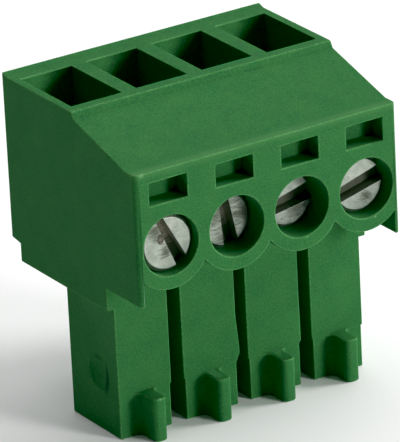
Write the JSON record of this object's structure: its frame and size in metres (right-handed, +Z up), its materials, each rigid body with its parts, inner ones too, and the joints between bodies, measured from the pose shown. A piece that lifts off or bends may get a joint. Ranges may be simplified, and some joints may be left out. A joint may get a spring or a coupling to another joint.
{
  "type": "pluggable terminal block",
  "caption": "Green pluggable screw terminal plug: wire entries on top, slotted clamping screws in front, socket fingers with coding keys below.",
  "frame": {"origin": "centre of the footprint box, in the plane of the finger tips", "axes": "+X along the row of poles, +Y from the screw face to the back, +Z up towards the wire entries"},
  "size_m": [0.014, 0.011, 0.0155],
  "materials": {
    "green_polyamide": "moulded, satin, fine grain",
    "zinc_plated_steel": "zinc plated, dulled and scuffed",
    "nickel_plated_brass": "nickel plated, satin",
    "tinned_copper": "tin plated, dull"
  },
  "bodies": {
    "housing_body": {"housing": "green_polyamide", "contact_1": "tinned_copper", "contact_2": "tinned_copper", "contact_3": "tinned_copper", "contact_4": "tinned_copper"},
    "screw_1_body": {"screw_1": "zinc_plated_steel"},
    "clamp_1_body": {"clamp_1": "nickel_plated_brass"},
    "screw_2_body": {"screw_2": "zinc_plated_steel"},
    "clamp_2_body": {"clamp_2": "nickel_plated_brass"},
    "screw_3_body": {"screw_3": "zinc_plated_steel"},
    "clamp_3_body": {"clamp_3": "nickel_plated_brass"},
    "screw_4_body": {"screw_4": "zinc_plated_steel"},
    "clamp_4_body": {"clamp_4": "nickel_plated_brass"}
  },
  "joints": [
    {"name": "screw_1_turn", "type": "hinge", "parent": "housing_body", "child": "screw_1_body", "pos_m": [-0.00525, 0, 0.01016], "axis": [0, 1, 0], "range_deg": [0, 1440]},
    {"name": "clamp_1_rise", "type": "slide", "parent": "housing_body", "child": "clamp_1_body", "axis": [0, -1, 0], "range_m": [0, 0.0016]},
    {"name": "screw_2_turn", "type": "hinge", "parent": "housing_body", "child": "screw_2_body", "pos_m": [-0.00175, 0, 0.01016], "axis": [0, 1, 0], "range_deg": [0, 1440]},
    {"name": "clamp_2_rise", "type": "slide", "parent": "housing_body", "child": "clamp_2_body", "axis": [0, -1, 0], "range_m": [0, 0.0016]},
    {"name": "screw_3_turn", "type": "hinge", "parent": "housing_body", "child": "screw_3_body", "pos_m": [0.00175, 0, 0.01016], "axis": [0, 1, 0], "range_deg": [0, 1440]},
    {"name": "clamp_3_rise", "type": "slide", "parent": "housing_body", "child": "clamp_3_body", "axis": [0, -1, 0], "range_m": [0, 0.0016]},
    {"name": "screw_4_turn", "type": "hinge", "parent": "housing_body", "child": "screw_4_body", "pos_m": [0.00525, 0, 0.01016], "axis": [0, 1, 0], "range_deg": [0, 1440]},
    {"name": "clamp_4_rise", "type": "slide", "parent": "housing_body", "child": "clamp_4_body", "axis": [0, -1, 0], "range_m": [0, 0.0016]}
  ],
  "couplings": [
    {"joint": "screw_1_turn", "follows": "clamp_1_rise", "rad_per_m": 15708},
    {"joint": "screw_2_turn", "follows": "clamp_2_rise", "rad_per_m": 15708},
    {"joint": "screw_3_turn", "follows": "clamp_3_rise", "rad_per_m": 15708},
    {"joint": "screw_4_turn", "follows": "clamp_4_rise", "rad_per_m": 15708}
  ]
}
